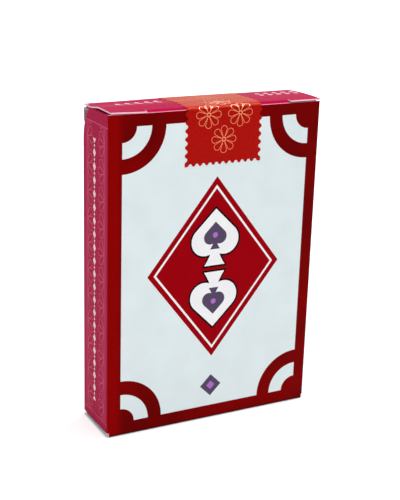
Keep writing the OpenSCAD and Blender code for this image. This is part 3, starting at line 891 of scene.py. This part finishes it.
def from_back(co):
    """How far a point of the seal lies from its rear foot."""
    return co.z - seal_foot - co.y - seal_face


def make_paper(strip):
    """Turns a strip into paper of the seal's thickness."""
    make_board(strip, seal_paper, seal_t, seal_paper, even=False)


tooth_cells, seal_rows = 12, 80
seal_cells = (teeth_wide * tooth_cells, seal_rows)
seal_front = lay_sheet(
    "seal_front_strip", (seal_left, seal_face, seal_foot), (seal_right, seal_face, slit_z),
    FACING_FRONT, seal_cells,
)
notch_edges(seal_front, from_front)
make_paper(seal_front)
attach(seal_front, "carton")
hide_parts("seal_front")

seal_top = lay_sheet(
    "seal_top_strip", (seal_left, bend_end, seal_top_z), (seal_right, lid_rear, seal_top_z),
    FACING_UP, seal_cells,
)
bpy.ops.object.mode_set(mode="EDIT")
pick("EDGE", lambda co: co.y < bend_end + NEAR)
bpy.ops.mesh.spin(
    steps=bend_steps, angle=-QUARTER_TURN, center=(0, bend_end, seal_top_z - seal_bend), axis=(1, 0, 0)
)
bpy.ops.object.mode_set(mode="OBJECT")
notch_edges(seal_top, from_front)
for corner in seal_top.data.vertices:
    rise = lid_rise(corner.co.x, max(corner.co.y, bend_end))
    drop = (seal_top_z - corner.co.z) / seal_bend
    corner.co.z = seal_top_z + rise - drop * (seal_top_z + rise - slit_z)
make_paper(seal_top)
# The front band over the bend takes the paper with the painted highlight.
seal_top.data.materials.append(lit_bend_paper)
for face in seal_top.data.polygons:
    if face.material_index == 0 and face.center.y < seal_face + highlight_band_w:
        face.material_index = len(seal_top.data.materials) - 1
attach(seal_top, "lid")
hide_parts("seal_top")

seal_rear = lay_sheet(
    "seal_crease_strip", (seal_left, lid_rear, seal_top_z), (seal_right, roll_y, seal_top_z),
    FACING_UP, (seal_cells[0], 2),
)
roll_down()
notch_edges(seal_rear, from_back)
for corner in seal_rear.data.vertices:
    share = smooth(crease_top, crease_foot, corner.co.z)
    corner.co.z += lid_rise(corner.co.x, lid_rear) * (1 - share)
make_paper(seal_rear)
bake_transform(seal_rear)

seal_back = lay_sheet(
    "seal_back_strip", (seal_left, -seal_face, seal_foot), (seal_right, -seal_face, crease_foot),
    FACING_BACK, seal_cells,
)
notch_edges(seal_back, from_back)
make_paper(seal_back)
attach(seal_back, "carton")
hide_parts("seal_back")

# Studio: a pale floor that looks white to the camera and takes the carton's shadow, in a white surround.
# A large soft lamp hangs overhead, one stands in front, and a strip at the upper right lights the bends.
# The camera stands where the photograph was taken.
FLOOR_WHITE = "#E8E8E8"
floor_size = 4
contact_w, near_r, far_r = 0.5 * MM, 60 * MM, 420 * MM
glow_near, glow_more = 0.42, 0.33
fill_level = 0.43


def shows_backdrop(tree):
    """1 for rays that show the backdrop itself: to the camera, in gloss and through glass."""
    light = add(tree, "LightPath").outputs
    seen = add(tree, "Math", light["Is Camera Ray"], light["Is Glossy Ray"], operation="MAXIMUM")
    return add(tree, "Math", seen, light["Is Transmission Ray"], operation="MAXIMUM")


bpy.ops.object.select_all(action="DESELECT")
bpy.ops.mesh.primitive_plane_add(size=floor_size)
floor = bpy.context.object
floor.name = "floor"
paper, tree = start_material("white_backdrop_paper")
seen = shows_backdrop(tree)
place = add(tree, "TexCoord").outputs["Object"]
folded = add(tree, "VectorMath", place, operation="ABSOLUTE")
past = add(tree, "VectorMath", folded, (right_high.x, -front_low.y, 0), operation="SUBTRACT")
past = add(tree, "VectorMath", past, (0, 0, 0), operation="MAXIMUM")
away = add(tree, "VectorMath", past, operation="LENGTH").outputs["Value"]
near = add(tree, "MapRange", away, 0, contact_w, 0, glow_near)
more = add(tree, "MapRange", away, near_r, far_r, 0, glow_more)
glow = add(tree, "Math", near, more, operation="ADD")
glow = add(tree, "Math", seen, glow, operation="MULTIPLY")
lit = add(tree, "BsdfDiffuse", linear(FLOOR_WHITE))
shine = add(tree, "Emission", (1, 1, 1, 1), glow)
both = add(tree, "AddShader", lit, shine)
add(tree, "OutputMaterial", both)
floor.data.materials.append(paper)

world = bpy.data.worlds.new("white_surround")
bpy.context.scene.world = world
world.use_nodes = True
tree = world.node_tree
tree.nodes.clear()
seen = shows_backdrop(tree)
level = add(tree, "MapRange", seen, 0, 1, fill_level, 1)
surround = add(tree, "Background", (1, 1, 1, 1), level)
add(tree, "OutputWorld", surround)

# Each lamp's place and sides are in metres, and its power in watts.
for name, place, size, power in (
    ("overhead_lamp", (-0.1, -0.1, 0.8), (0.6, 0.6), 2.6),
    ("front_lamp", (-0.5, -0.75, 0.35), (0.5, 0.5), 2.2),
    ("strip_lamp", (0.40, 0.05, 0.8), (0.7, 0.12), 3.6),
):
    lamp = bpy.data.lights.new(name, "AREA")
    lamp.shape = "RECTANGLE"
    lamp.size, lamp.size_y = size
    lamp.energy = power
    holder = bpy.data.objects.new(name, lamp)
    holder.location = place
    holder.rotation_mode = "QUATERNION"
    holder.rotation_quaternion = (Vector(place) - carton_mid).to_track_quat("Z", "Y")
    bpy.context.scene.collection.objects.link(holder)

eye = Vector((-145.30, -273.22, 150.42)) * MM
aim = Vector((0.399, 0.811, 49.271)) * MM
camera_roll, sensor_h, lens_l, near_clip = radians(1.738), 36, 80.7, 10 * MM
camera = bpy.data.cameras.new("camera")
camera.sensor_fit = "VERTICAL"
camera.sensor_height = sensor_h
camera.lens = lens_l
camera.clip_start = near_clip
holder = bpy.data.objects.new("camera", camera)
holder.location = eye
holder.rotation_mode = "QUATERNION"
holder.rotation_quaternion = (eye - aim).to_track_quat("Z", "Y") @ Quaternion((0, 0, 1), camera_roll)
bpy.context.scene.collection.objects.link(holder)
bpy.context.scene.camera = holder
bpy.context.scene.view_settings.view_transform = "Standard"
